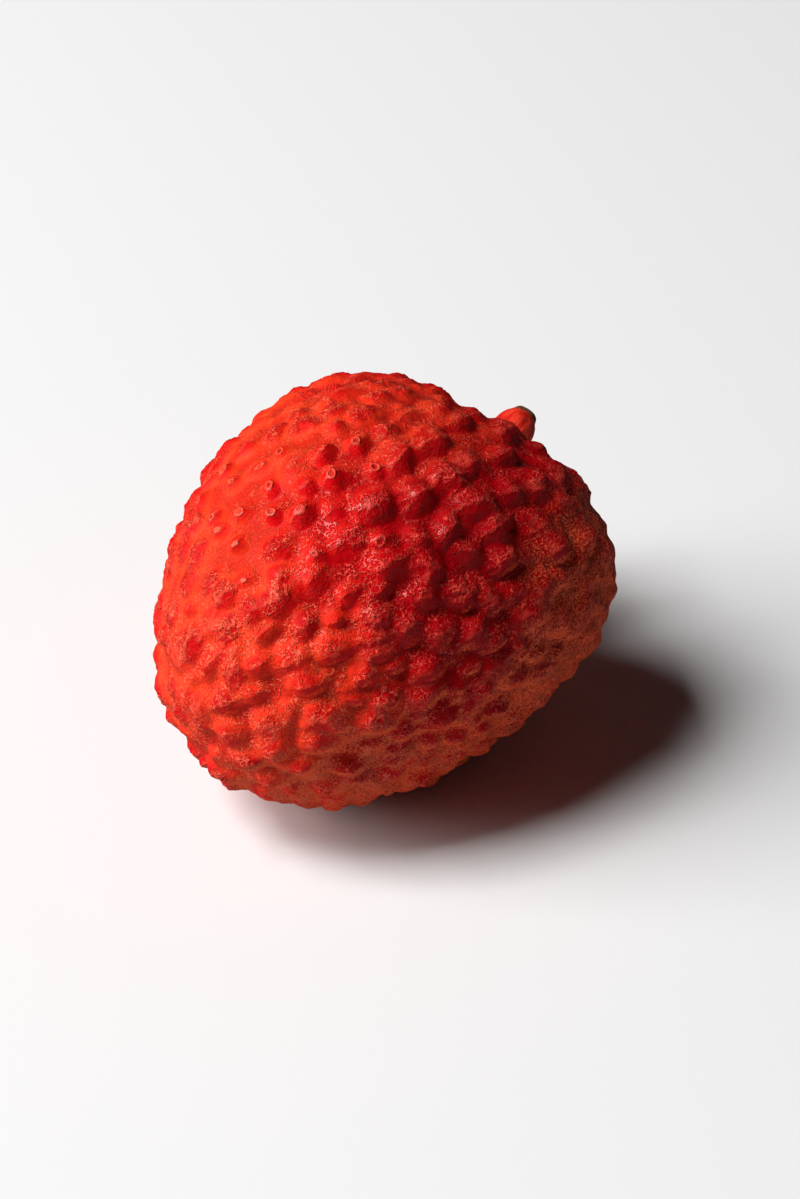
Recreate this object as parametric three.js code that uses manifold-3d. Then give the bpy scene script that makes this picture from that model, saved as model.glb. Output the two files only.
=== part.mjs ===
// A ripe lychee, as picked, lying on its side on a small flat spot.
//
// Two solids: the fruit, one closed body in its warty peel, and the short stub of the stalk that it was
// picked with. The stub stands in a shallow socket, at the bottom of the hollow between the fruit's shoulders.
//
// The fruit's own axes are X from its tip to its stalk, Y across its shoulders and Z through its thickness.
// It lies with X raised a little at the stalk. Everything is in millimetres, and angles are in degrees.

import * as THREE from "three";
import { ConvexHull } from "three/addons/math/ConvexHull.js";
import { mergeVertices } from "three/addons/utils/BufferGeometryUtils.js";
import Module from "manifold-3d";

// The fruit between its warts: an egg, fuller towards the stalk, with swellings and a hollow laid over it.
const HALF_LENGTH = 17.6;
const HALF_WIDTH = 14.8;
const HALF_THICKNESS = 15.8;
const WIDTH_TAPER = 0.1;
const THICKNESS_TAPER = 0.04;

// Each swelling is centred on a direction, at an angle from the stalk towards +Y, and fades out with angle.
const SWELLINGS = [
  { name: "slim shoulder", angle: 38, spread: 35, height: 2.9 },
  { name: "broad shoulder", angle: -47, spread: 35, height: 3.5 },
  { name: "stalk hollow", angle: 0, spread: 22, height: -3.6 },
  { name: "blunt tip", angle: 180, spread: 40, height: 0.8 },
];

// Warts follow a golden-angle spiral from the stalk to the tip, shaken so that no rows line up.
const WART_COUNT = 420;
const WART_HEIGHT = 0.65;
const WART_SHAKE = 0.2; // of the spacing between warts
const WART_SHOULDER = { out: 0.5, up: 0.7 }; // where a wart rounds over, on its way from middle to foot
const SMOOTH_ANGLE = 8; // no warts this close to the stalk
const WARTY_ANGLE = 24; // full-height warts from here on

// The stub of the stalk, along its own axis: a wide foot, a waist and a swollen end, cut off square.
const STALK_LENGTH = 9.5;
const STALK_FOOT_RADIUS = 1.75;
const STALK_WAIST_RADIUS = 1.35;
const STALK_BULB_RADIUS = 1.75;
const STALK_CUT_RADIUS = 1.4;
const STALK_LEAN = 9; // towards +Z, away from the fruit's own axis
const STALK_SIDES = 28;
const SOCKET_DEPTH = 1.5;
const SOCKET_GAP = 0.3;

// How the fruit lies.
const STALK_END_RAISED = 8;
const FLAT_SPOT_DEPTH = 0.9; // how far the flat spot cuts into the lowest warts and the peel under them

const PEEL = { color: 0xc4160c, roughness: 0.45, metalness: 0 };
const STALK_BARK = { color: 0x8c2417, roughness: 0.55, metalness: 0 };

const wasm = await Module();
wasm.setup();

const radians = THREE.MathUtils.degToRad;
const towardsStalk = new THREE.Vector3(1, 0, 0);

// How far the peel lies from the fruit's centre in a direction, measured between the warts.
function peelRadius(direction) {
  const width = HALF_WIDTH * (1 + WIDTH_TAPER * direction.x);
  const thickness = HALF_THICKNESS * (1 + THICKNESS_TAPER * direction.x);
  const egg = 1 / Math.hypot(direction.x / HALF_LENGTH, direction.y / width, direction.z / thickness);
  return SWELLINGS.reduce((radius, { angle, spread, height }) => {
    const middle = new THREE.Vector3(Math.cos(radians(angle)), Math.sin(radians(angle)), 0);
    const away = direction.angleTo(middle) / radians(spread);
    return radius + height * Math.exp(-away * away);
  }, egg);
}

// Warts shrink to nothing beside the stalk.
function wartHeight(direction) {
  const away = THREE.MathUtils.radToDeg(direction.angleTo(towardsStalk));
  return WART_HEIGHT * THREE.MathUtils.smoothstep(away, SMOOTH_ANGLE, WARTY_ANGLE);
}

// The directions of the warts' middles, spread evenly over a sphere and then shaken.
function wartDirections() {
  const goldenAngle = Math.PI * (3 - Math.sqrt(5));
  const spacing = Math.sqrt((4 * Math.PI) / WART_COUNT);
  return Array.from({ length: WART_COUNT }, (_, i) => {
    const x = 1 - (2 * i + 1) / WART_COUNT;
    const ring = Math.sqrt(1 - x * x);
    const direction = new THREE.Vector3(x, ring * Math.cos(i * goldenAngle), ring * Math.sin(i * goldenAngle));
    const shake = new THREE.Vector3(Math.sin(i * 12.99), Math.sin(i * 78.23), Math.sin(i * 37.72));
    return direction.addScaledVector(shake, spacing * WART_SHAKE).normalize();
  });
}

// The furrows run around each wart, and meet at one corner inside each triangle of neighbouring warts.
function furrowCorner(face) {
  const middles = [face.edge, face.edge.next, face.edge.prev].map((edge) => edge.head().point);
  return middles[0].clone().add(middles[1]).add(middles[2]).normalize();
}

// The corners around a wart, in anticlockwise order as seen from outside.
function cornersAround(edge) {
  const corners = [];
  let turn = edge;
  do {
    corners.unshift(furrowCorner(turn.face));
    turn = turn.next.twin;
  } while (turn !== edge);
  return corners;
}

// One point of a wart: out runs from 0 at its middle to 1 at its foot, and up from 0 at its foot to 1 at its top.
function wartPoint(middle, corner, out, up) {
  const direction = middle.clone().lerp(corner, out).normalize();
  return direction.multiplyScalar(peelRadius(direction) + up * wartHeight(middle));
}

// The whole peel as a triangle soup, wart by wart: a cap around each middle, and a skirt down to the furrows.
function fruitGeometry() {
  const hull = new ConvexHull().setFromPoints(wartDirections());
  const edgeTo = new Map();
  for (const face of hull.faces) {
    for (const edge of [face.edge, face.edge.next, face.edge.prev]) edgeTo.set(edge.head().point, edge);
  }
  const triangles = [];
  for (const [middle, edge] of edgeTo) {
    const corners = cornersAround(edge);
    const top = wartPoint(middle, middle, 0, 1);
    const foot = corners.map((corner) => wartPoint(middle, corner, 1, 0));
    const brow = corners.map((corner) => wartPoint(middle, corner, WART_SHOULDER.out, WART_SHOULDER.up));
    corners.forEach((_, i) => {
      const next = (i + 1) % corners.length;
      triangles.push(top, brow[i], brow[next], brow[i], foot[i], foot[next], brow[i], foot[next], brow[next]);
    });
  }
  return new THREE.BufferGeometry().setFromPoints(triangles);
}

// The stub stands on the origin, along +Z. Grown by a gap, it is the shape that its socket is cut with.
function stalkGeometry(gap = 0) {
  const outline = [
    [0, -gap],
    [STALK_FOOT_RADIUS + gap, -gap],
    [STALK_FOOT_RADIUS + gap, STALK_LENGTH * 0.17],
    [(STALK_FOOT_RADIUS + STALK_WAIST_RADIUS) / 2 + gap, STALK_LENGTH * 0.26],
    [STALK_WAIST_RADIUS + gap, STALK_LENGTH * 0.38],
    [STALK_WAIST_RADIUS + gap, STALK_LENGTH * 0.52],
    [(STALK_WAIST_RADIUS + STALK_BULB_RADIUS) / 2 + gap, STALK_LENGTH * 0.64],
    [STALK_BULB_RADIUS + gap, STALK_LENGTH * 0.77],
    [STALK_BULB_RADIUS + gap, STALK_LENGTH * 0.86],
    [STALK_CUT_RADIUS + gap, STALK_LENGTH * 0.975],
    [STALK_CUT_RADIUS * 0.7 + gap, STALK_LENGTH],
    [0, STALK_LENGTH],
  ];
  const profile = outline.map(([radius, height]) => new THREE.Vector2(radius, height));
  return new THREE.LatheGeometry(profile, STALK_SIDES).rotateX(Math.PI / 2);
}

function solidFrom(geometry) {
  const bare = geometry.clone().deleteAttribute("normal").deleteAttribute("uv");
  const merged = mergeVertices(bare);
  return new wasm.Manifold(
    new wasm.Mesh({
      numProp: 3,
      vertProperties: merged.getAttribute("position").array,
      triVerts: merged.index.array,
    }),
  );
}

function geometryFrom(solid) {
  const { vertProperties, triVerts } = solid.getMesh();
  const geometry = new THREE.BufferGeometry();
  geometry.setAttribute("position", new THREE.BufferAttribute(vertProperties, 3));
  geometry.setIndex(new THREE.BufferAttribute(triVerts, 1));
  geometry.computeVertexNormals();
  return geometry;
}

const lying = new THREE.Matrix4().makeRotationY(-radians(STALK_END_RAISED));

// Where the stub stands in the fruit's own axes: its foot is sunk below the bottom of the stalk hollow.
const stalkPlace = new THREE.Matrix4()
  .makeRotationY(radians(90 - STALK_LEAN))
  .setPosition(peelRadius(towardsStalk) - SOCKET_DEPTH, 0, 0);

// What the flat spot takes off, as a slab in the fruit's own axes.
function slabUnder(geometry) {
  const laid = geometry.clone().applyMatrix4(lying);
  laid.computeBoundingBox();
  const slab = { width: 4 * HALF_LENGTH, thickness: HALF_THICKNESS };
  return new THREE.BoxGeometry(slab.width, slab.width, slab.thickness)
    .translate(0, 0, laid.boundingBox.min.z + FLAT_SPOT_DEPTH - slab.thickness / 2)
    .applyMatrix4(lying.clone().invert());
}

function makeFruit() {
  const whole = fruitGeometry();
  const socket = stalkGeometry(SOCKET_GAP).applyMatrix4(stalkPlace);
  const solid = solidFrom(whole).subtract(solidFrom(slabUnder(whole))).subtract(solidFrom(socket));
  const fruit = new THREE.Mesh(geometryFrom(solid), new THREE.MeshStandardMaterial(PEEL));
  fruit.name = "fruit";
  return fruit;
}

function makeStalk() {
  const solid = solidFrom(stalkGeometry());
  const stalk = new THREE.Mesh(geometryFrom(solid), new THREE.MeshStandardMaterial(STALK_BARK));
  stalk.name = "stalk_stub";
  stalk.applyMatrix4(stalkPlace);
  return stalk;
}

// The lychee, laid down and moved so that the origin is the middle of the underside of its box.
const laid = new THREE.Group();
laid.add(makeFruit(), makeStalk());
laid.applyMatrix4(lying);
const box = new THREE.Box3().setFromObject(laid, true);
const middle = box.getCenter(new THREE.Vector3());
laid.position.set(-middle.x, -middle.y, -box.min.z);

const lychee = new THREE.Group();
lychee.add(laid);

export default lychee;
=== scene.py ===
"""A ripe lychee, as picked, lying on a pale table with the stub of its stalk.

The fruit's own axes are X from its tip to its stalk, Y across its shoulders and Z through its thickness.
Its shape is worked out in millimetres on those axes. It is then laid down in the frame, where a length is in
metres.
"""

import math

import bmesh
import bpy
import numpy as np
from mathutils import Matrix, Vector, noise


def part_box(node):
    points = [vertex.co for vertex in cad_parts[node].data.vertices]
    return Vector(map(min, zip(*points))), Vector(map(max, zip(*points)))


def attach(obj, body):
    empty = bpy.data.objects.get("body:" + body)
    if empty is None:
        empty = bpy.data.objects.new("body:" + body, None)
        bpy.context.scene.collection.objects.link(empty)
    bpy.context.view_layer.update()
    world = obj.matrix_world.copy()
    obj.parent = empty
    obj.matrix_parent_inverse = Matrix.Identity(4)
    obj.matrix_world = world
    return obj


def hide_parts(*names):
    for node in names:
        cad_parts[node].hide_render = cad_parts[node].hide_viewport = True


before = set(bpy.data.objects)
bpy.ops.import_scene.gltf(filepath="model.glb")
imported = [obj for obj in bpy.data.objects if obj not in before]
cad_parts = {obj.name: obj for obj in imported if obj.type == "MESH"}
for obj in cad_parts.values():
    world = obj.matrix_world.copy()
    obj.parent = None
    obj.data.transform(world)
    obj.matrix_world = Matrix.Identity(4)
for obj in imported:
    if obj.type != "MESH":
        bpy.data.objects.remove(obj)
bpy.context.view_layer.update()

MM = 0.001
SEED = 11

# The fruit between its warts, in mm: an egg, fuller towards the stalk, with swellings laid over it.
HALF_LENGTH = 17.6
HALF_WIDTH = 14.8
HALF_THICKNESS = 15.8
WIDTH_TAPER = 0.1
THICKNESS_TAPER = 0.04
SWELLINGS = [  # angle from the stalk towards +Y, spread in degrees, height
    (38, 35, 2.9),  # slim shoulder
    (-47, 35, 3.5),  # broad shoulder
    (0, 22, -3.6),  # stalk hollow
    (180, 40, 0.8),  # blunt tip
]
STALK_END_RAISED = 8  # degrees
FRUIT_CENTRE = (0.517, 0.514, 0.4824)  # as shares of the fruit's box

# Warts, with lengths in mm: rounded mounds, and small cones with a flat top that mostly has a crater.
WART_COUNT = 500
WART_SPOTS = 14000  # random spots that the warts are picked from
WART_TRIES = 40  # spots that are looked at for each wart
ROW_TWIST = 18  # degrees that the rows of warts turn from the line between tip and stalk
TURN_SPREAD = 16  # degrees that single warts are turned from their row
ROW_STRETCH = 0.12  # how far mounds are drawn out along their row
STALK_STRETCH = 0.04  # how much further near the stalk
MOUND_HEIGHT = 0.82
MOUND_REACH = 1.8
NIPPLE_HEIGHT = 0.1
NIPPLE_REACH = 0.36
LEAN = 0.14  # how much steeper the lower side of a leaning mound is
LEAN_WIDTH = 0.9
CONE_SHARE = 0.8  # of the warts in the middle of a patch of cones
CONE_HEIGHT = 0.78
CONE_REACH = 1.3
CONE_TOP = 0.3  # how much of a cone's reach its flat top takes
CRATER_SHARE = 0.85  # of the cones
CRATER_DEPTH = 0.1
CRATER_RADIUS = 0.22
TIP_RADIUS = 0.46  # of the ring around a crater
JOIN = 2.7  # how sharply neighbouring warts join
SHOULDER_SWELL = 0.3  # how much bigger mounds are on the shoulders
CONE_UPRIGHT = 0.6  # how much less cones lean than mounds
LOW_AMONG_CONES = 0.25  # how much lower mounds are in the middle of a patch of cones
WRINKLED_SHARE = 0.35  # of the mounds, and as many again among cones

# How much single warts differ, as the least and the most of what the values above say.
SIZES = (0.66, 1.26)
STRETCHES = (0.2, 1.8)
MOUND_HEIGHTS = (0.85, 1.15)
CONE_HEIGHTS = (0.7, 1.15)
CONE_REACHES = (0.85, 1.2)
LEANS = (0.2, 1.3)
TIP_RADII = (0.75, 1.2)
NIPPLE_HEIGHTS = (0, 1.3)

# The rest of the relief, in mm: the size of a wave or lump, and how far it moves or lifts the peel.
SWAYS = [(2.4, 0.55), (1.0, 0.2)]  # these draw the warts out of round
SWELL_SIZE = 7.0
SWELL_HEIGHT = 0.2
LUMP_SIZE = 1.6
LUMP_HEIGHT = 0.15
WRINKLE_SIZE = 0.9
WRINKLE_HEIGHT = 0.18
PEBBLE_SIZE = 0.7
PEBBLE_HEIGHT = 0.11
FURROW_GAP = 3.4
FURROW_DEPTH = 0.26
FURROW_WIDTH = 0.13  # as a share of the height of the waves that draw the furrows
STALK_DIP_DEPTH = 0.4  # how low the peel lies beside the stalk, which leaves the stub in sight
CREST_ROUNDS = 4  # how often mounds and furrows are softened

# How much weaker each is on the bare peel between cones.
FURROWS_LOST = 0.7
LUMPS_LOST = 0.5
PEBBLES_LOST = 0.8

# How far from the tip of a wart, in mm, each has faded out, and where it is whole.
WRINKLES_FADE = (1.3, 0.8)
TIP_FADE = (0.8, 0.6)
CONE_FADE = (1.2, 0.6)

WARTLESS_ANGLE = 10  # degrees from the stalk
WARTY_ANGLE = 48  # full-height warts from here on

# Patches of the peel. The four numbers are degrees: the patch's middle from the stalk, and around it from +Y
# past +Z, and then how far from its middle the patch is whole and where it ends.
CONE_PATCH = (110, 80, 15, 40)
HIDDEN_CONE_PATCH = (80, -40, 15, 40)
BARE_CHEEK = (115, 60, 20, 45)
LOWER_CHEEK = (140, 60, 20, 50)
# The next three patches are painted scarlet: partly the peel's own blush and partly painted light, lighter
# and more orange on the lamp side, the crown and the tip.
LIT_SCARLET_CHEEK = (120, 35, 25, 65)
LIT_SCARLET_CROWN = (65, 75, 20, 50)
LIT_SCARLET_TIP = (165, 105, 20, 55)
WARM_FAR_SIDE = (75, -15, 30, 70)
CALM_CROWN = (60, 70, 20, 45)
STALK_DIP = (30, 110, 8, 32)
SHOULDERS = (65, 125, 15, 45)
# Painted shade: this shoulder turns away from the lamps and is painted a darker red.
SHADED_SHOULDER = (70, 150, 25, 80)
FLANK = (85, 175, 20, 70)
CALM_FLANK = (60, 180, 15, 45)
BELLY = (110, -100, 20, 80)

UPPER_SIDE = (105, 140)  # from the stalk and around it: the furrows follow the rows of warts there

# What differs from patch to patch, and by how much.
CROWDED = [(FLANK, 0.12), (BELLY, 0.12), (LOWER_CHEEK, 0.14)]  # warts stand closer
LOOSE = [(SHOULDERS, 0.25)]  # warts stand further apart
LOWERED = [(LOWER_CHEEK, 0.1), (CALM_CROWN, 0.35), (CALM_FLANK, 0.15)]  # mounds are lower
MORE_WRINKLED = [(LOWER_CHEEK, 0.3), (CALM_CROWN, 0.35)]  # more of the mounds are wrinkled
SCARLET_AND_LIT = [(LIT_SCARLET_CHEEK, 1), (LIT_SCARLET_CROWN, 0.85), (LIT_SCARLET_TIP, 0.85), (WARM_FAR_SIDE, 0.7)]  # scarlet peel, partly the peel's own blush and partly painted light

AXIS = np.array([1.0, 0.0, 0.0])
SHADED_WAY = np.array([0.0, -0.5, -0.87])  # the way towards the floor: the side facing it is painted tan, partly the peel's own colour and partly painted bounce light
TAN_AND_BOUNCE_LIMIT = 0.68  # so that red always shows between the speckles of tan and painted bounce light
FLANK_TAN_AND_BOUNCE = 0.45  # added on the calm flank


def unit(vectors):
    return vectors / np.linalg.norm(vectors, axis=-1, keepdims=True)


def angle_from(directions, centre):
    """Degrees between each direction and one centre direction."""
    return np.degrees(np.arccos(np.clip(directions @ unit(np.asarray(centre, float)), -1, 1)))


def smoothstep(low, high, values):
    share = np.clip((values - low) / (high - low), 0, 1)
    return share * share * (3 - 2 * share)


def peel_radius(directions):
    """How far the peel lies from the fruit's centre, between the warts."""
    x, y, z = directions.T
    width = HALF_WIDTH * (1 + WIDTH_TAPER * x)
    thickness = HALF_THICKNESS * (1 + THICKNESS_TAPER * x)
    radius = 1 / np.sqrt((x / HALF_LENGTH) ** 2 + (y / width) ** 2 + (z / thickness) ** 2)
    for angle, spread, height in SWELLINGS:
        middle = (math.cos(math.radians(angle)), math.sin(math.radians(angle)), 0)
        radius += height * np.exp(-((angle_from(directions, middle) / spread) ** 2))
    return radius


def direction_at(from_stalk, around):
    """The direction at an angle from the stalk, and at an angle around it that starts at +Y and passes +Z."""
    a, b = math.radians(from_stalk), math.radians(around)
    return np.array([math.cos(a), math.sin(a) * math.cos(b), math.sin(a) * math.sin(b)])


def near(directions, from_stalk, around, full, none):
    """1 within full degrees of a spot on the fruit, and 0 from none degrees on."""
    return smoothstep(none, full, angle_from(directions, direction_at(from_stalk, around)))


def patches(directions, strengths):
    """The sum of some patches at each direction, each times its strength."""
    return sum(strength * near(directions, *patch) for patch, strength in strengths)


def wavy(points, wavelength, octaves=2):
    """Smooth noise from about -1 to 1 at each point."""
    return np.array([noise.fractal(Vector(p) / wavelength, 1.0, 2.0, octaves) for p in points])


def wavy_vectors(points, wavelength):
    """Smooth noise along each of the three axes."""
    return np.array([noise.noise_vector(Vector(p) / wavelength) for p in points])


def creased(points, wavelength):
    """Rounded lumps with creases between them, from about 0 to 1."""
    return np.array([noise.turbulence(Vector(p) / wavelength, 3, True) for p in points])


def softened(values, edges, rounds):
    """The values at the points of a mesh, each drawn towards the mean of its neighbours."""
    ends = edges.ravel()
    others = edges[:, ::-1].ravel()
    neighbours = np.bincount(ends)
    for _ in range(rounds):
        values = (values + np.bincount(ends, values[others]) / neighbours) / 2
    return values


def furrows(points):
    """1 along wavy furrows that mostly follow the rows on the upper side, 0 away from them."""
    upper = direction_at(*UPPER_SIDE)
    rows = row_frames(upper[None])[0][0]
    drawn_in = points - 0.5 * np.outer(points @ rows, rows)
    return np.exp(-((wavy(drawn_in + 30, FURROW_GAP, 1) / FURROW_WIDTH) ** 2))


def row_frames(directions):
    """At each direction, the way a row of warts runs towards the stalk, and the way across the rows."""
    along = unit(AXIS - directions * directions[:, :1] + 1e-9)
    aside = np.cross(directions, along)
    turn = math.radians(ROW_TWIST)
    rows = along * math.cos(turn) - aside * math.sin(turn)
    return rows, np.cross(directions, rows)


def spacing(directions):
    """How far apart warts stand, against their mean spacing."""
    return 1 - patches(directions, CROWDED) + patches(directions, LOOSE)


def apartness(directions):
    """1 where warts stand apart as small cones on bare peel, 0 where they crowd into mounds."""
    return np.maximum(near(directions, *CONE_PATCH), 0.8 * near(directions, *HIDDEN_CONE_PATCH))


def away_from_tip(directions):
    """1 over most of the fruit, 0 at its tip, where warts neither lean nor run in rows."""
    return smoothstep(172, 140, angle_from(directions, AXIS))


def row_stretch(directions):
    """How much longer than wide a wart is, as the square root of the ratio."""
    near_stalk = smoothstep(60, 25, angle_from(directions, AXIS))
    drawn_out = ROW_STRETCH * (1 - apartness(directions)) * away_from_tip(directions)
    return 1 + drawn_out + STALK_STRETCH * near_stalk


def spread_out(count, spots, rng):
    """Picks spots that stand well apart: each is the furthest from the others of a few random ones."""
    points = spots * peel_radius(spots)[:, None]
    rows, across = row_frames(spots)
    gap = spacing(spots)
    stretch = row_stretch(spots)
    nearest = np.full(len(spots), np.inf)
    chosen = []
    for _ in range(count):
        tries = rng.integers(len(spots), size=WART_TRIES)
        best = tries[np.argmax(nearest[tries])]
        chosen.append(best)
        offset = points - points[best]
        along = (offset @ rows[best]) / stretch[best]
        aside = (offset @ across[best]) * stretch[best]
        lift = offset @ spots[best]
        nearest = np.minimum(nearest, np.sqrt(along**2 + aside**2 + lift**2) / gap)
    return spots[chosen]


class Warts:
    """Where the warts stand, and what each is like."""

    def __init__(self, count, rng):
        self.outward = spread_out(count, unit(rng.normal(size=(WART_SPOTS, 3))), rng)
        self.middles = self.outward * peel_radius(self.outward)[:, None]
        self.turn(count, rng)
        apart = apartness(self.outward)
        self.stretch = 1 + (row_stretch(self.outward) - 1) * rng.uniform(*STRETCHES, count)
        self.cone = rng.random(count) < CONE_SHARE * apart
        self.crater = self.cone & (rng.random(count) < CRATER_SHARE)
        size = rng.uniform(*SIZES, count)
        self.set_height(count, rng, size, apart)
        swollen = self.swollen()
        upright = (1 - CONE_UPRIGHT * self.cone) * away_from_tip(self.outward) / swollen**2
        self.lean = LEAN * rng.uniform(*LEANS, count) * upright
        cone_reach = CONE_REACH * rng.uniform(*CONE_REACHES, count)
        self.reach = np.where(self.cone, cone_reach, MOUND_REACH * size * swollen**0.5)
        self.tip = TIP_RADIUS * rng.uniform(*TIP_RADII, count)
        wrinkling = patches(self.outward, MORE_WRINKLED) + WRINKLED_SHARE * apart
        self.wrinkled = ~self.cone & (rng.random(count) < WRINKLED_SHARE + wrinkling)
        self.nipple = NIPPLE_HEIGHT * rng.uniform(*NIPPLE_HEIGHTS, count) * ~self.cone

    def turn(self, count, rng):
        """Turns each wart a little from its row."""
        rows, across = row_frames(self.outward)
        turned = np.radians(rng.normal(0, TURN_SPREAD, count))[:, None]
        self.rows = rows * np.cos(turned) + across * np.sin(turned)
        self.across = across * np.cos(turned) - rows * np.sin(turned)

    def swollen(self):
        """How much bigger the mounds on the shoulders are."""
        return 1 + SHOULDER_SWELL * near(self.outward, *SHOULDERS)

    def set_height(self, count, rng, size, apart):
        """Mounds are higher where they are bigger, and lower on the calm patches."""
        mound_height = MOUND_HEIGHT * (0.3 + 0.7 * size) * rng.uniform(*MOUND_HEIGHTS, count)
        mound_height *= self.swollen() * (1 - LOW_AMONG_CONES * apart)
        for patch, share in LOWERED:
            mound_height *= 1 - share * near(self.outward, *patch)
        cone_height = CONE_HEIGHT * rng.uniform(*CONE_HEIGHTS, count)
        self.height = np.where(self.cone, cone_height, mound_height)

    def rises(self, points):
        """The height of each wart at each point, before they are joined, and the distance from each wart."""
        offset = points[:, None, :] - self.middles[None]
        along = np.einsum("pwc,wc->pw", offset, self.rows) / self.stretch
        aside = np.einsum("pwc,wc->pw", offset, self.across) * self.stretch
        aside *= 1 - self.lean * np.tanh(aside / LEAN_WIDTH)
        lift = np.einsum("pwc,wc->pw", offset, self.outward)
        distance = np.sqrt(along**2 + aside**2 + lift**2)
        share = np.minimum(distance / self.reach, 1)
        mound = (1 - share**2) ** 1.5
        cone = smoothstep(1, CONE_TOP, share)
        height = self.height * np.where(self.cone, cone, mound)
        height += self.nipple * np.exp(-((distance / NIPPLE_REACH) ** 2))
        return height, distance

    def joined(self, points, chunk=4000):
        """The height of all the warts together at each point, which wart is nearest, and how near it is."""
        height = np.empty(len(points))
        owner = np.empty(len(points), int)
        nearest = np.empty(len(points))
        for start in range(0, len(points), chunk):
            part = slice(start, start + chunk)
            rises, distance = self.rises(points[part])
            height[part] = (rises**JOIN).sum(axis=1) ** (1 / JOIN)
            owner[part] = distance.argmin(axis=1)
            nearest[part] = distance.min(axis=1)
        return height, owner, nearest


def peel_relief(directions, edges, warts):
    """The height of the peel over the plain fruit in mm, and marks for the material. The marks say how far up
    its wart each point is, where it is from the wart's tip in tip radii, whether it is near that tip, whether
    the tip has a crater, whether the wart is wrinkled, and whether it is a cone.
    """
    points = directions * peel_radius(directions)[:, None]
    swayed = points
    for size, sway in SWAYS:
        swayed = swayed + sway * wavy_vectors(points, size)
    height, owner, nearest = warts.joined(swayed)
    warty = smoothstep(WARTLESS_ANGLE, WARTY_ANGLE, angle_from(directions, AXIS))
    apart = apartness(directions)
    height = softened(height, edges, CREST_ROUNDS)
    up = np.clip(height / MOUND_HEIGHT, 0, 1.2)
    height = height * warty
    height += SWELL_HEIGHT * wavy(points, SWELL_SIZE) - STALK_DIP_DEPTH * near(directions, *STALK_DIP)
    furrow_depth = FURROW_DEPTH * furrows(points) * warty * (1 - FURROWS_LOST * apart)
    height -= softened(furrow_depth, edges, CREST_ROUNDS)
    height += LUMP_HEIGHT * creased(points, LUMP_SIZE) * (1 - LUMPS_LOST * apart)
    height -= CRATER_DEPTH * warts.crater[owner] * np.exp(-((nearest / CRATER_RADIUS) ** 2))
    wrinkled = warts.wrinkled[owner] * smoothstep(*WRINKLES_FADE, nearest) * warty
    height += WRINKLE_HEIGHT * wrinkled * (1 - creased(points + 40, WRINKLE_SIZE)) ** 3
    pebbled = (0.4 + 0.6 * up) * (1 - PEBBLES_LOST * apart)
    height += PEBBLE_HEIGHT * creased(points + 80, PEBBLE_SIZE) * pebbled
    marks = {
        "up_the_wart": up,
        "from_tip": (swayed - warts.middles[owner]) / warts.tip[owner][:, None],
        "near_tip": smoothstep(*TIP_FADE, nearest) * warty,
        "crater": warts.crater[owner] * 1.0,
        "wrinkled": wrinkled,
        "cone": warts.cone[owner] * smoothstep(*CONE_FADE, nearest),
    }
    return height, marks


def scarlet_and_lit(directions):
    """1 where the peel is scarlet, 0 where it is crimson. The scarlet is partly the peel's own blush and
    partly painted light: lighter and more orange on the lamp side, the crown and the tip.
    """
    return np.clip(patches(directions, SCARLET_AND_LIT) + 0.12 * wavy(directions * 16, 6.0), 0, 1)


def tan_and_bounce_share(directions, outward, normals, up):
    """How far the red gives way to tan: most underneath, and low on the sides of warts that face down towards
    the floor. The tan is partly the peel's own colour and partly painted bounce light from the floor.
    """
    tan_and_bounce = smoothstep(0.22, 0.95, 0.4 * outward @ SHADED_WAY + 0.8 * normals @ SHADED_WAY)
    tan_and_bounce += FLANK_TAN_AND_BOUNCE * near(directions, *CALM_FLANK)
    return np.clip(tan_and_bounce * (1.45 - 0.95 * up), 0, TAN_AND_BOUNCE_LIMIT)


def lee_share(across, normals):
    """1 on the smooth steep sides of the warts, which face across the rows."""
    return smoothstep(0.02, 0.45, -(across * normals).sum(axis=1))


def crest_share(across, normals, up):
    """1 along the rounded crests of the warts, above their smooth sides. A highlight is painted there."""
    side = (across * normals).sum(axis=1)
    return np.exp(-(((side - 0.05) / 0.1) ** 2)) * smoothstep(0.55, 0.85, up)


def laid_down():
    """The turn that lays the fruit down, and where its centre then is, in metres."""
    low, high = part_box("fruit")
    centre = Vector([l + (h - l) * s for l, h, s in zip(low, high, FRUIT_CENTRE)])
    return Matrix.Translation(centre) @ Matrix.Rotation(-math.radians(STALK_END_RAISED), 4, "Y")


def new_object(name, bm):
    mesh = bpy.data.meshes.new(name)
    bm.to_mesh(mesh)
    bm.free()
    mesh.shade_smooth()
    made = bpy.data.objects.new(name, mesh)
    bpy.context.scene.collection.objects.link(made)
    return made


def set_attribute(mesh, name, values):
    kind = "FLOAT" if values.ndim == 1 else "FLOAT_VECTOR"
    attribute = mesh.attributes.new(name, kind, "POINT")
    attribute.data.foreach_set("value" if values.ndim == 1 else "vector", values.astype(np.float32).ravel())


def vertex_normals(mesh):
    normals = np.empty(len(mesh.vertices) * 3, np.float32)
    mesh.vertex_normals.foreach_get("vector", normals)
    return normals.reshape(-1, 3)


def fruit_sphere():
    """An even sphere of small triangles, with its vertices' directions and its edges."""
    bm = bmesh.new()
    bmesh.ops.create_icosphere(bm, subdivisions=5, radius=1)
    bmesh.ops.subdivide_edges(bm, edges=bm.edges[:], cuts=5, use_grid_fill=True)
    bm.verts.ensure_lookup_table()
    bm.verts.index_update()
    directions = unit(np.array([v.co for v in bm.verts]))
    edges = np.array([[v.index for v in e.verts] for e in bm.edges])
    return bm, directions, edges


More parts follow.
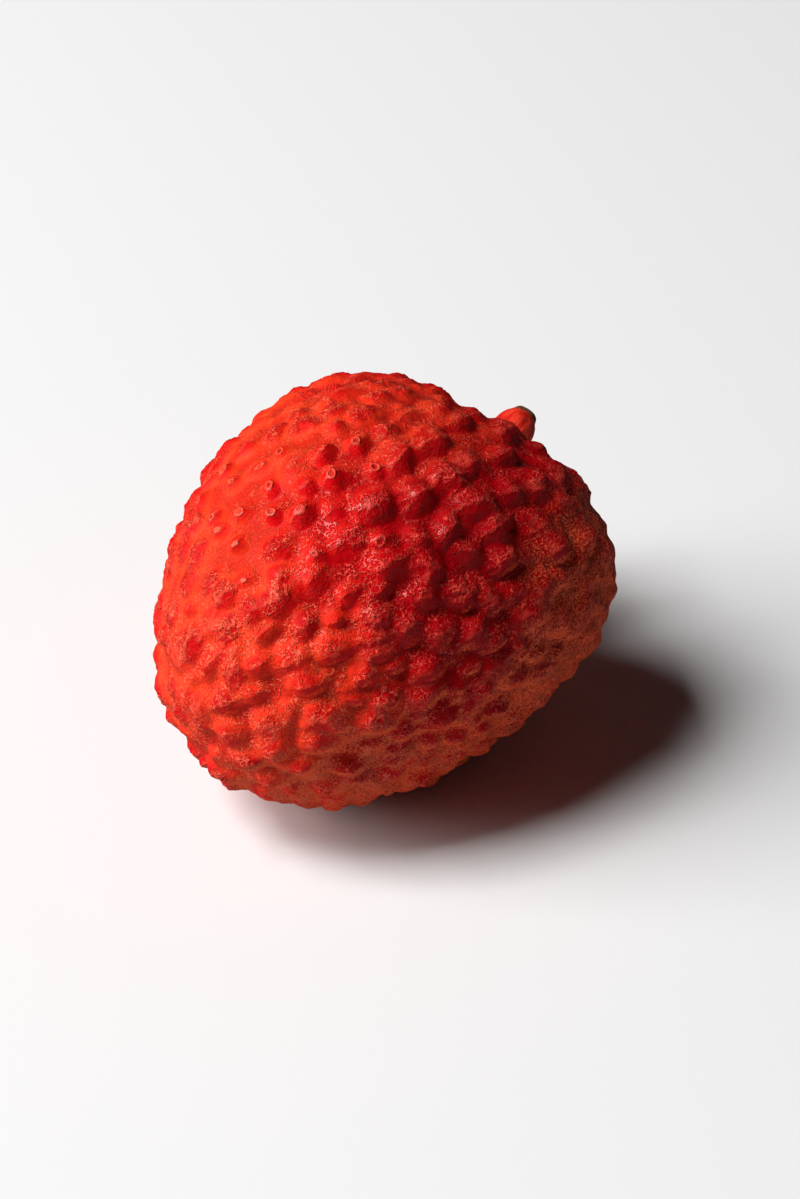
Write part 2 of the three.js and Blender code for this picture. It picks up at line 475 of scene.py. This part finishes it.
def add_colour_marks(marks, directions, normals, turn):
    """Adds the marks that say where each colour lies, painted light and shade among them: the lit scarlet,
    the darker shoulder away from the lamps, the floor's bounce among the tan and the smooth sides of the
    warts. The normals are those of the laid-down fruit.
    """
    up = marks["up_the_wart"]
    across = row_frames(directions)[1] @ turn.T
    marks["scarlet_and_lit"] = scarlet_and_lit(directions)
    marks["shaded_shoulder"] = near(directions, *SHADED_SHOULDER)
    marks["bald"] = near(directions, *BARE_CHEEK)
    marks["tan_and_bounce"] = tan_and_bounce_share(directions, directions @ turn.T, normals, up)
    marks["lee_side"] = lee_share(across, normals)
    marks["crest"] = crest_share(across, normals, up)


def make_fruit(material):
    bm, directions, edges = fruit_sphere()
    warts = Warts(WART_COUNT, np.random.default_rng(SEED))
    height, marks = peel_relief(directions, edges, warts)
    points = directions * (peel_radius(directions) + height)[:, None] * MM
    lie = laid_down()
    for vertex, point in zip(bm.verts, points):
        vertex.co = lie @ Vector(point)
        vertex.co.z = max(vertex.co.z, 0)
    fruit = new_object("lychee_fruit", bm)
    add_colour_marks(marks, directions, vertex_normals(fruit.data), np.array(lie.to_3x3()))
    for name, values in marks.items():
        set_attribute(fruit.data, name, values)
    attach(fruit, "root")
    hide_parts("fruit")
    fruit.data.materials.append(material)


# The stub of stalk, with lengths in mm.
STALK_LENGTH = 9.1
STALK_LEAN = 9  # degrees away from the fruit's own axis
SOCKET_DEPTH = 1.5
STALK_OUTLINE = [  # radius, and share of the length from its foot in the peel to its cut
    (1.75, 0),
    (1.75, 0.17),
    (1.55, 0.26),
    (1.35, 0.38),
    (1.35, 0.5),
    (1.6, 0.6),
    (1.8, 0.7),
    (1.8, 0.78),
    (1.65, 0.87),
    (1.3, 0.94),
    (0.95, 0.98),
]
STALK_SIDES = 120
STALK_RINGS = 90
CUT_RINGS = 14
STREAK_DRAW = 0.12  # how much slower ridges and streaks change along the stub than around it
RIDGE_SIZE = 0.55
RIDGE_HEIGHT = 0.042
KNOB_SIZE = 1.8
KNOB_HEIGHT = 0.06
PITH_DIP = 0.3
CUT_SIZE = 0.5
CUT_ROUGHNESS = 0.08
CUT_SLANT = 0.12


def stalk_radius(share):
    """The radius of the stub, on a smooth line through its outline."""
    radii, shares = zip(*STALK_OUTLINE)
    window = np.linspace(-0.05, 0.05, 9)
    return float(np.mean(np.interp(share + window, shares, radii)))


def stalk_mesh():
    """The stub's outline spun round, standing on its foot in mm, and the radius of its cut face."""
    rim = stalk_radius(1)
    outline = [(0, 0)]
    outline += [(stalk_radius(share), share * STALK_LENGTH) for share in np.linspace(0, 1, STALK_RINGS)]
    outline += [(rim * share, STALK_LENGTH) for share in np.linspace(0.94, 0, CUT_RINGS)]
    bm = bmesh.new()
    spots = [bm.verts.new((radius, 0, height)) for radius, height in outline]
    edges = [bm.edges.new(pair) for pair in zip(spots, spots[1:])]
    turned = {"cent": (0, 0, 0), "axis": (0, 0, 1), "angle": 2 * math.pi, "steps": STALK_SIDES}
    bmesh.ops.spin(bm, geom=spots + edges, use_merge=True, **turned)
    bmesh.ops.remove_doubles(bm, verts=bm.verts[:], dist=1e-5)
    bmesh.ops.recalc_face_normals(bm, faces=bm.faces[:])
    bm.verts.ensure_lookup_table()
    return bm, rim


def stalk_relief(plain, rim):
    """Gives the stub's points, in mm, ridges and a rough cut face, and says which lie on that face."""
    from_axis = np.hypot(plain[:, 0], plain[:, 1])
    along = plain[:, 2] / STALK_LENGTH
    on_cut = smoothstep(0.985, 1, along) * smoothstep(rim * 1.02, rim * 0.9, from_axis)
    ridges = wavy(plain * (1, 1, STREAK_DRAW), RIDGE_SIZE, 3) * (1 - on_cut) * smoothstep(0, 0.5, from_axis)
    knobs = wavy(plain * (1, 1, 0.6), KNOB_SIZE)
    grown = 1 + (RIDGE_HEIGHT * ridges + KNOB_HEIGHT * knobs) / np.maximum(from_axis, 0.5)
    spots = plain * np.stack([grown, grown, np.ones(len(plain))], axis=1)
    dip = PITH_DIP * smoothstep(1, 0.3, from_axis / rim) + CUT_ROUGHNESS * creased(plain, CUT_SIZE)
    spots[:, 2] -= on_cut * dip
    spots[:, 2] += smoothstep(0.9, 1, along) * CUT_SLANT * wavy(plain, 1.5)
    return spots, on_cut


def stalk_place():
    """The turn that stands the stub in the hollow of the laid-down fruit, in metres."""
    foot = (float(peel_radius(AXIS[None])[0]) - SOCKET_DEPTH) * MM
    leaning = Matrix.Rotation(math.radians(90 - STALK_LEAN), 4, "Y")
    return laid_down() @ Matrix.Translation((foot, 0, 0)) @ leaning


def make_stalk(material):
    bm, rim = stalk_mesh()
    plain = np.array([v.co for v in bm.verts])
    spots, on_cut = stalk_relief(plain, rim)
    turn = stalk_place()
    for vertex, spot in zip(bm.verts, spots):
        vertex.co = turn @ (Vector(spot) * MM)
    stalk = new_object("stalk_stub_end", bm)
    set_attribute(stalk.data, "own_place", plain)
    set_attribute(stalk.data, "along", plain[:, 2] / STALK_LENGTH)
    set_attribute(stalk.data, "cut_face", on_cut)
    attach(stalk, "root")
    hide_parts("stalk_stub")
    stalk.data.materials.append(material)


def add_group(name, inputs, outputs):
    """An empty node group with its sockets, and its input and output nodes."""
    group = bpy.data.node_groups.new(name, "ShaderNodeTree")
    for socket, kind in inputs:
        group.interface.new_socket(socket, in_out="INPUT", socket_type=kind)
    for socket, kind in outputs:
        group.interface.new_socket(socket, in_out="OUTPUT", socket_type=kind)
    return group, group.nodes.new("NodeGroupInput"), group.nodes.new("NodeGroupOutput")


def add(tree, kind, **settings):
    """A new node. A setting named after one of its inputs sets that input; any other sets a property."""
    node = tree.nodes.new("ShaderNode" + kind)
    for name, value in settings.items():
        if hasattr(node, name):
            setattr(node, name, value)
        else:
            node.inputs[name.replace("_", " ")].default_value = value
    return node


def math_node(tree, operation, a, b=None):
    node = tree.nodes.new("ShaderNodeMath")
    node.operation = operation
    for socket, value in zip(node.inputs, (a, b)):
        if isinstance(value, bpy.types.NodeSocket):
            tree.links.new(value, socket)
        elif value is not None:
            socket.default_value = value
    return node.outputs[0]


def ramp(tree, value, low, high):
    """0 below low and 1 above high, smooth between. low may be above high."""
    node = tree.nodes.new("ShaderNodeMapRange")
    node.interpolation_type = "SMOOTHSTEP"
    node.inputs["From Min"].default_value = low
    node.inputs["From Max"].default_value = high
    tree.links.new(value, node.inputs["Value"])
    return node.outputs["Result"]


def mix_colours(tree, share, a, b):
    """Colour a where share is 0, colour b where it is 1."""
    node = tree.nodes.new("ShaderNodeMix")
    node.data_type = "RGBA"
    sockets = [node.inputs[0], node.inputs[6], node.inputs[7]]
    for socket, value in zip(sockets, (share, a, b)):
        if isinstance(value, bpy.types.NodeSocket):
            tree.links.new(value, socket)
        elif socket.type == "RGBA":
            socket.default_value = (*value, 1)
        else:
            socket.default_value = value
    return node.outputs[2]


def centred_noise(tree, vector, scale, detail=2.0, roughness=0.5):
    """Noise about 0.5, from 0 to 1."""
    node = add(tree, "TexNoise", Scale=scale, Detail=detail, Roughness=roughness)
    tree.links.new(vector, node.inputs["Vector"])
    return node.outputs["Fac"]


def grain_group():
    """Skin grain: thin raised curls and loops on fine granules. Vector is in mm, Size is a loop's size."""
    inputs = [("Vector", "NodeSocketVector"), ("Size", "NodeSocketFloat")]
    outputs = [("Height", "NodeSocketFloat"), ("Curls", "NodeSocketFloat"), ("Granules", "NodeSocketFloat")]
    tree, given, result = add_group("skin grain", inputs, outputs)
    link = tree.links.new
    sized = add(tree, "VectorMath", operation="SCALE")
    link(given.outputs["Vector"], sized.inputs[0])
    link(math_node(tree, "DIVIDE", 1.0, given.outputs["Size"]), sized.inputs["Scale"])
    level = centred_noise(tree, sized.outputs[0], 1.0, 1.0, 0.5)
    off_line = math_node(tree, "ABSOLUTE", math_node(tree, "SUBTRACT", level, 0.5))
    lines = ramp(tree, off_line, 0.058, 0.024)
    grown_over = ramp(tree, centred_noise(tree, sized.outputs[0], 0.3, 2.0), 0.37, 0.54)
    curls = times(tree, lines, grown_over)
    granules = centred_noise(tree, sized.outputs[0], 2.3, 2.0, 0.6)
    link(plus(tree, curls, times(tree, granules, 0.8)), result.inputs["Height"])
    link(curls, result.inputs["Curls"])
    link(granules, result.inputs["Granules"])
    return tree


def place_grain(tree, group, vector, size):
    node = tree.nodes.new("ShaderNodeGroup")
    node.node_tree = group
    node.inputs["Size"].default_value = size
    tree.links.new(vector, node.inputs["Vector"])
    return node.outputs


def attribute(tree, name, output="Fac"):
    return add(tree, "Attribute", attribute_name=name).outputs[output]


def plus(tree, *terms):
    total = terms[0]
    for term in terms[1:]:
        total = math_node(tree, "ADD", total, term)
    return total


def times(tree, *factors):
    product = factors[0]
    for factor in factors[1:]:
        product = math_node(tree, "MULTIPLY", product, factor)
    return product


def less(tree, mask, share=1.0):
    """1 where the mask is 0, and less by the share where the mask is 1."""
    return math_node(tree, "SUBTRACT", 1.0, times(tree, mask, share))


def new_material(name):
    material = bpy.data.materials.new(name)
    material.use_nodes = True
    return material, material.node_tree, material.node_tree.nodes["Principled BSDF"]


def place_in_mm(tree):
    """The place on the object in mm."""
    place = add(tree, "TexCoord")
    in_mm = add(tree, "Mapping")
    in_mm.inputs["Scale"].default_value = (1000, 1000, 1000)
    tree.links.new(place.outputs["Object"], in_mm.inputs["Vector"])
    return in_mm.outputs["Vector"]


DEEP_RED = (0.36, 0.001, 0.004)
CRIMSON = (0.69, 0.001, 0.004)
# The scarlet below is partly the peel's own blush and partly painted light: lighter and more orange where the
# lamps fall.
LIT_SCARLET = (0.81, 0.048, 0.013)
# The tan is partly the peel's own colour and partly painted bounce light from the floor.
TAN_AND_BOUNCE = (0.84, 0.115, 0.036)
# The curl colours below are partly the curls' own and partly painted glints, lighter than the peel.
RED_CURL_AND_GLINT = (1.0, 0.09, 0.062)
PALE_CURL_AND_GLINT = (1.0, 0.14, 0.065)
# Tan curls, partly painted bounce light from the floor.
TAN_AND_BOUNCE_CURL = (0.85, 0.15, 0.06)


FINE_LOOP = 0.4  # mm
BROAD_LOOP = 0.62
MARKS = ["up_the_wart", "near_tip", "crater", "wrinkled", "cone", "scarlet_and_lit", "shaded_shoulder", "bald", "tan_and_bounce", "crest"]


def peel_masks(tree):
    """Where each kind of peel lies, as sockets from 0 to 1, and how far each spot is from its wart's tip."""
    mask = {name: attribute(tree, name) for name in MARKS}
    from_tip = add(tree, "VectorMath", operation="LENGTH")
    tree.links.new(attribute(tree, "from_tip", "Vector"), from_tip.inputs[0])
    mask["tip_radii"] = from_tip.outputs["Value"]
    rough_side = ramp(tree, attribute(tree, "lee_side"), 0.9, 0.0)
    mask["smooth_side"] = less(tree, rough_side)
    mask["grainy"] = plus(tree, times(tree, rough_side, 0.85), 0.15)
    mask["plain"] = less(tree, mask["wrinkled"])
    mask["cool"] = less(tree, mask["scarlet_and_lit"])
    mask["faint"] = less(tree, times(tree, mask["bald"], mask["plain"]), 0.5)
    ring = times(tree, ramp(tree, mask["tip_radii"], 0.42, 0.68), ramp(tree, mask["tip_radii"], 1.1, 0.8))
    mask["ring"] = times(tree, ring, mask["near_tip"], mask["crater"])
    # Crater pits, where a shade is painted.
    mask["pit"] = times(tree, ramp(tree, mask["tip_radii"], 0.55, 0.35), mask["crater"])
    return mask


def peel_reds(tree, mask, granules):
    """The red under the curls: scarlet low on the sunny side, partly painted light; painted shade in darker
    red low between warts, on wrinkled warts, on the shoulder away from the lamps and on the smooth sides of
    warts, and crimson on cones for their shaded sides; darker red also on wart tops and in dots.
    """
    up, scarlet_lit, grainy, wrinkled = (mask[name] for name in ("up_the_wart", "scarlet_and_lit", "grainy", "wrinkled"))
    # Painted shade: darker red on the shoulder that turns away from the lamps.
    red = mix_colours(tree, mask["shaded_shoulder"], CRIMSON, DEEP_RED)
    everywhere = math_node(tree, "MAXIMUM", grainy, ramp(tree, scarlet_lit, 0.6, 1.0))
    low = less(tree, ramp(tree, up, 0.35, 0.9), 0.68)
    # Painted light: scarlet on the rough sides of the warts on the sunny side, where the lamps fall; the
    # smooth sides stay crimson as painted shade.
    sunny = times(tree, scarlet_lit, everywhere, low, plus(tree, times(tree, mask["plain"], 0.6), 0.4))
    red = mix_colours(tree, sunny, red, LIT_SCARLET)
    # Painted shade: cones turn crimson, standing in for the shade on their sides.
    red = mix_colours(tree, times(tree, mask["cone"], 0.55), red, CRIMSON)
    # Painted shade: darker red low between the warts.
    hollow_shade = times(tree, ramp(tree, up, 0.35, 0.0), 0.55)
    # Painted shade: darker red on wrinkled warts, between their thick curls.
    wrinkle_shade = times(tree, wrinkled, grainy, 0.68)
    tops = times(tree, ramp(tree, up, 0.45, 0.85), scarlet_lit, 0.3)
    dots = times(tree, ramp(tree, granules, 0.49, 0.57), scarlet_lit, mask["faint"], 0.42)
    # Painted shade: darker red on the smooth sides of the warts, which turn away from the lamps.
    sides = times(tree, mask["smooth_side"], mask["cool"], 0.2)
    for deepened in (hollow_shade, wrinkle_shade, tops, dots, sides):
        red = mix_colours(tree, deepened, red, DEEP_RED)
    return red


def tan_and_bounce_speckles(tree, tan_and_bounce, granules):
    """Tan and painted bounce light in speckles, which close up where there is more of it."""
    speckle = times(tree, math_node(tree, "SUBTRACT", granules, 0.5), ramp(tree, tan_and_bounce, 0.0, 0.3))
    return ramp(tree, plus(tree, tan_and_bounce, times(tree, speckle, 3.2)), 0.2, 0.9)


def peel_curls(tree, mask, fine, broad):
    """Thin curls on all the rough peel, and thick ones on the wrinkled warts."""
    # Fewer curls on that shoulder, where the shade is painted.
    in_dark = less(tree, mask["shaded_shoulder"], 0.5)
    thinned = less(tree, mask["scarlet_and_lit"], 0.3)
    thin_curls = times(tree, fine["Curls"], mask["grainy"], mask["faint"], in_dark, thinned)
    thick_curls = times(tree, broad["Curls"], mask["wrinkled"], mask["grainy"], 0.62)
    return math_node(tree, "MAXIMUM", thin_curls, thick_curls)


def peel_bump(tree, mask, fine, broad):
    """The relief of the grain in mm."""
    grain_height = plus(tree, times(tree, mask["cool"], 0.09), 0.08)
    curl_height = plus(tree, times(tree, mask["wrinkled"], 0.09), times(tree, mask["grainy"], 0.05))
    return plus(
        tree,
        times(tree, fine["Height"], mask["grainy"], grain_height),
        times(tree, broad["Curls"], curl_height),
        times(tree, mask["ring"], 0.08),
    )


def peel_gloss(tree, mask, curls):
    """How waxy the peel is: most on the curls and crests away from the sunny side."""
    on_curls = times(tree, curls, mask["cool"], 0.5)
    on_rings = times(tree, mask["ring"], 0.2)
    on_crests = times(tree, mask["crest"], mask["cool"], 0.3)
    on_sides = times(tree, mask["smooth_side"], mask["cool"], 0.2)
    return plus(tree, on_curls, on_rings, on_crests, on_sides)


def add_bump(tree, shader, height_in_mm):
    bump = add(tree, "Bump", Strength=1.0, Distance=MM)
    tree.links.new(height_in_mm, bump.inputs["Height"])
    tree.links.new(bump.outputs["Normal"], shader.inputs["Normal"])


def peel_material(grain):
    material, tree, shader = new_material("peel")
    link = tree.links.new
    in_mm = place_in_mm(tree)
    fine = place_grain(tree, grain, in_mm, FINE_LOOP)
    broad = place_grain(tree, grain, in_mm, BROAD_LOOP)
    mask = peel_masks(tree)
    curls = peel_curls(tree, mask, fine, broad)
    red = peel_reds(tree, mask, fine["Granules"])
    # Tan speckles on the side facing the floor: partly the peel's own colour and partly painted bounce light.
    skin = mix_colours(tree, tan_and_bounce_speckles(tree, mask["tan_and_bounce"], fine["Granules"]), red, TAN_AND_BOUNCE)
    # Curls painted lighter: partly their own colour and partly painted glints.
    curl_and_glint_colour = mix_colours(tree, mask["scarlet_and_lit"], RED_CURL_AND_GLINT, PALE_CURL_AND_GLINT)
    curl_and_glint_colour = mix_colours(tree, mask["tan_and_bounce"], curl_and_glint_colour, TAN_AND_BOUNCE_CURL)
    skin = mix_colours(tree, curls, skin, curl_and_glint_colour)
    # Painted shade: darker red in the crater pits.
    skin = mix_colours(tree, times(tree, mask["pit"], 0.8), skin, DEEP_RED)
    # Painted highlight: crater rims and the crests of the warts are painted paler.
    pale = plus(tree, times(tree, mask["ring"], 0.5), times(tree, mask["crest"], 0.35))
    link(mix_colours(tree, pale, skin, curl_and_glint_colour), shader.inputs["Base Color"])
    add_bump(tree, shader, peel_bump(tree, mask, fine, broad))
    link(peel_gloss(tree, mask, curls), shader.inputs["Coat Weight"])
    shader.inputs["Roughness"].default_value = 0.4
    shader.inputs["Specular IOR Level"].default_value = 0.2
    shader.inputs["Specular Tint"].default_value = (1, 0.12, 0.14, 1)
    shader.inputs["Coat Roughness"].default_value = 0.27
    shader.inputs["Coat IOR"].default_value = 1.45
    return material


RUSSET = (0.9, 0.05, 0.022)
OX_BLOOD = (0.62, 0.008, 0.006)
OLIVE_BROWN = (0.13, 0.055, 0.025)
PITH = (0.30, 0.17, 0.08)
BARK_LOOP = 0.2  # mm


def bark_material(grain):
    material, tree, shader = new_material("stalk_bark")
    link = tree.links.new
    drawn_out = add(tree, "Mapping")
    drawn_out.inputs["Scale"].default_value = (1, 1, STREAK_DRAW)
    own_place = attribute(tree, "own_place", "Vector")
    link(own_place, drawn_out.inputs["Vector"])
    fine = place_grain(tree, grain, own_place, BARK_LOOP)
    streaks = centred_noise(tree, drawn_out.outputs["Vector"], 2.6, 3.0, 0.6)
    along = attribute(tree, "along")
    cut = attribute(tree, "cut_face")
    bark = mix_colours(tree, ramp(tree, streaks, 0.38, 0.62), OX_BLOOD, RUSSET)
    rim = ramp(tree, plus(tree, along, times(tree, streaks, 0.05)), 0.955, 0.995)
    bark = mix_colours(tree, rim, bark, OLIVE_BROWN)
    bark = mix_colours(tree, times(tree, cut, ramp(tree, fine["Granules"], 0.3, 0.7)), bark, PITH)
    link(bark, shader.inputs["Base Color"])
    relief = plus(tree, times(tree, streaks, 0.12), times(tree, fine["Height"], 0.03))
    add_bump(tree, shader, relief)
    shader.inputs["Roughness"].default_value = 0.45
    shader.inputs["Specular IOR Level"].default_value = 0.2
    shader.inputs["Specular Tint"].default_value = (1, 0.5, 0.4, 1)
    return material


FLOOR_GREY = 0.733
FLOOR_BOUNCE = 0.65  # how pale the floor is to the fruit, which the studio's dark walls dull
FLOOR_WHITE = 0.9  # how bright the floor shows to the camera far from the fruit
FLOOR_HALF_SIZE = 3
WHITE_FROM = 0.14  # how far from the fruit the floor starts to turn white
WHITE_AT = 0.36


def make_floor():
    bm = bmesh.new()
    bmesh.ops.create_grid(bm, x_segments=1, y_segments=1, size=FLOOR_HALF_SIZE)
    floor = new_object("table_top", bm)
    material, tree, shader = new_material("table_top")
    link = tree.links.new
    path = add(tree, "LightPath").outputs
    to_camera = path["Is Camera Ray"]
    grey = plus(tree, times(tree, to_camera, FLOOR_GREY - FLOOR_BOUNCE), FLOOR_BOUNCE)
    grey = times(tree, grey, less(tree, path["Is Glossy Ray"]))
    link(grey, shader.inputs["Base Color"])
    shader.inputs["Roughness"].default_value = 0.6
    shader.inputs["Specular IOR Level"].default_value = 0.1
    away = add(tree, "VectorMath", operation="LENGTH")
    link(add(tree, "TexCoord").outputs["Object"], away.inputs[0])
    glow = add(tree, "Emission", Strength=FLOOR_WHITE)
    far = times(tree, ramp(tree, away.outputs["Value"], WHITE_FROM, WHITE_AT), to_camera)
    mixed = tree.nodes.new("ShaderNodeMixShader")
    link(far, mixed.inputs[0])
    link(shader.outputs[0], mixed.inputs[1])
    link(glow.outputs[0], mixed.inputs[2])
    link(mixed.outputs[0], tree.nodes["Material Output"].inputs["Surface"])
    floor.data.materials.append(material)


CAMERA_AZIMUTH = -52.7
CAMERA_ELEVATION = 40
CAMERA_DISTANCE = 0.266
CAMERA_LENS = 100
CAMERA_ASIDE = 0.00318  # how far the fruit's centre is left of the middle of the view
CAMERA_RAISED = -0.00034

LAMP_DISTANCE = 1.0
LAMP_AIM = Vector((0, 0, 0.012))
LAMPS = [  # name, degrees behind the camera's left, elevation, width, height, watts
    ("tall softbox", 5, 27, 0.45, 0.89, 10.9),
    ("high softbox", 14, 59, 0.35, 0.35, 9.5),
]
FILL_LIGHT = 0.015


def heading(azimuth, elevation):
    """The direction in which something stands, as seen from the fruit."""
    a, e = math.radians(azimuth), math.radians(elevation)
    return Vector((math.sin(a) * math.cos(e), -math.cos(a) * math.cos(e), math.sin(e)))


def make_camera(centre):
    back = heading(CAMERA_AZIMUTH, CAMERA_ELEVATION)
    right = Vector((0, 0, 1)).cross(back).normalized()
    up = back.cross(right)
    camera = bpy.data.objects.new("camera", bpy.data.cameras.new("camera"))
    camera.data.lens = CAMERA_LENS
    camera.data.clip_start = 0.01
    camera.location = centre + back * CAMERA_DISTANCE + right * CAMERA_ASIDE + up * CAMERA_RAISED
    camera.rotation_mode = "QUATERNION"
    camera.rotation_quaternion = (-back).to_track_quat("-Z", "Y")
    bpy.context.scene.collection.objects.link(camera)
    bpy.context.scene.camera = camera


def make_lamp(name, behind_left, elevation, width, height, watts):
    data = bpy.data.lights.new(name, "AREA")
    data.shape = "RECTANGLE"
    data.size = width
    data.size_y = height
    data.energy = watts
    lamp = bpy.data.objects.new(name, data)
    towards = heading(CAMERA_AZIMUTH - 90 + behind_left, elevation)
    lamp.location = towards * LAMP_DISTANCE + LAMP_AIM
    lamp.rotation_mode = "QUATERNION"
    lamp.rotation_quaternion = towards.to_track_quat("Z", "Y")
    lamp.visible_camera = False
    bpy.context.scene.collection.objects.link(lamp)


def make_world():
    """A nearly dark studio that shows as pale as the floor where the camera sees past it."""
    world = bpy.data.worlds.new("studio")
    bpy.context.scene.world = world
    world.use_nodes = True
    tree = world.node_tree
    tree.nodes["Background"].inputs["Color"].default_value = (1, 1, 1, 1)
    shown = tree.nodes.new("ShaderNodeMath")
    shown.operation = "MULTIPLY_ADD"
    tree.links.new(tree.nodes.new("ShaderNodeLightPath").outputs["Is Camera Ray"], shown.inputs[0])
    shown.inputs[1].default_value = FLOOR_WHITE - FILL_LIGHT
    shown.inputs[2].default_value = FILL_LIGHT
    tree.links.new(shown.outputs[0], tree.nodes["Background"].inputs["Strength"])


noise.seed_set(SEED)  # without it, noise_vector changes from run to run
skin_grain = grain_group()
make_fruit(peel_material(skin_grain))
make_stalk(bark_material(skin_grain))
make_floor()
make_camera(laid_down().translation)
for lamp in LAMPS:
    make_lamp(*lamp)
make_world()
bpy.context.scene.view_settings.view_transform = "Standard"
